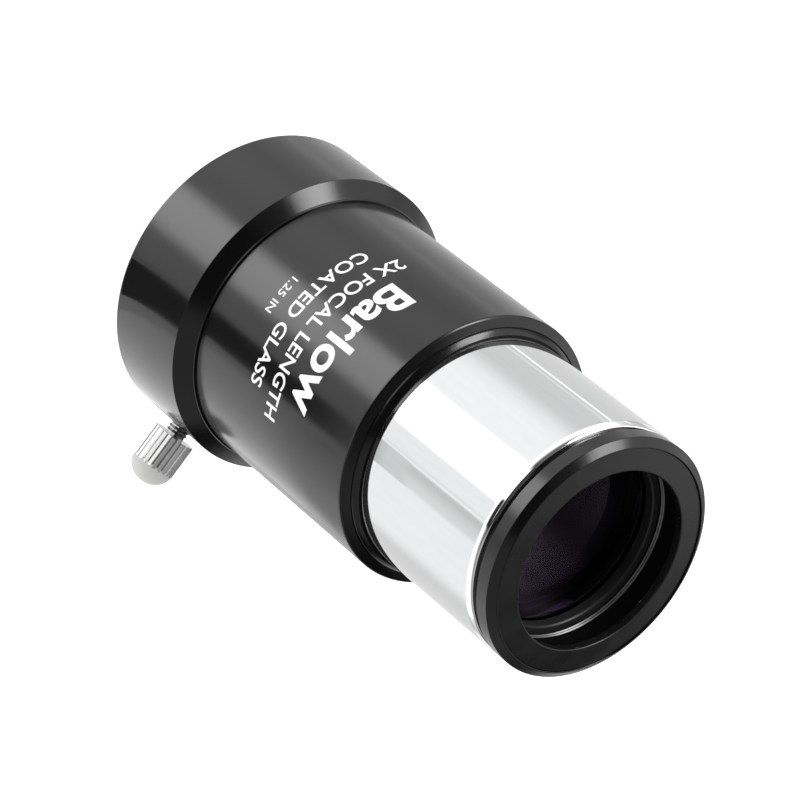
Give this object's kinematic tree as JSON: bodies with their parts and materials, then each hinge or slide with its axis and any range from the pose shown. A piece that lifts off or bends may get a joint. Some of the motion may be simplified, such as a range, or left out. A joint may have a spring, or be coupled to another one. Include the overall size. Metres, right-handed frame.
{
  "type": "barlow lens",
  "caption": "Short barlow lens: black eyepiece collar with a side thumbscrew, black barrel, chromed push-in tube and a screw-in lens cell.",
  "frame": {"origin": "centre of the bounding box's underside, in the plane of the eyepiece collar's flat rim; the optical axis is parallel to Z at X = -4.150 mm, Y = 0", "axes": "+Z along the optical axis, from the eyepiece end to the lens cell; +X the way the thumbscrew points"},
  "size_m": [0.0488, 0.0406, 0.0733],
  "materials": {
    "black_anodised": "satin black anodised, fine turned marks",
    "matt_black": "matt black",
    "satin_black": "satin black",
    "chrome_plate": "bright chrome with a faint turned grain",
    "nickel_plate": "bright nickel plate, satin on the domed end",
    "coated_glass": "polished, purple anti-reflection coating",
    "nylon": "matt"
  },
  "bodies": {
    "barrel": {"eyepiece_collar": "black_anodised", "main_barrel": "black_anodised", "glare_stop": "matt_black", "nosepiece": "chrome_plate"},
    "lens_stack": {"flint_lens": "coated_glass", "lens_spacer": "matt_black", "crown_lens": "coated_glass"},
    "cell": {"lens_cell": "black_anodised", "front_cap": "satin_black", "retaining_ring": "black_anodised"},
    "pad": {"clamp_pad": "nylon"},
    "screw": {"thumbscrew": "nickel_plate"}
  },
  "joints": [
    {"name": "lens_cell_lift", "type": "slide", "parent": "barrel", "child": "lens_stack", "axis": [0, 0, 1], "range_m": [0, 0.0042]},
    {"name": "lens_cell_turn", "type": "hinge", "parent": "lens_stack", "child": "cell", "pos_m": [-0.00415, 0, 0.0697], "axis": [0, 0, 1], "range_deg": [0, 2520]},
    {"name": "clamp_pad_travel", "type": "slide", "parent": "barrel", "child": "pad", "axis": [1, 0, 0], "range_m": [-0.0014, 0.003]},
    {"name": "thumbscrew_turn", "type": "hinge", "parent": "pad", "child": "screw", "pos_m": [0.02, 0, 0.0057], "axis": [1, 0, 0], "range_deg": [-1008, 2160]}
  ],
  "couplings": [
    {"joint": "lens_cell_lift", "follows": "lens_cell_turn", "m_per_rad": 0.00009549},
    {"joint": "clamp_pad_travel", "follows": "thumbscrew_turn", "m_per_rad": 0.00007957}
  ]
}
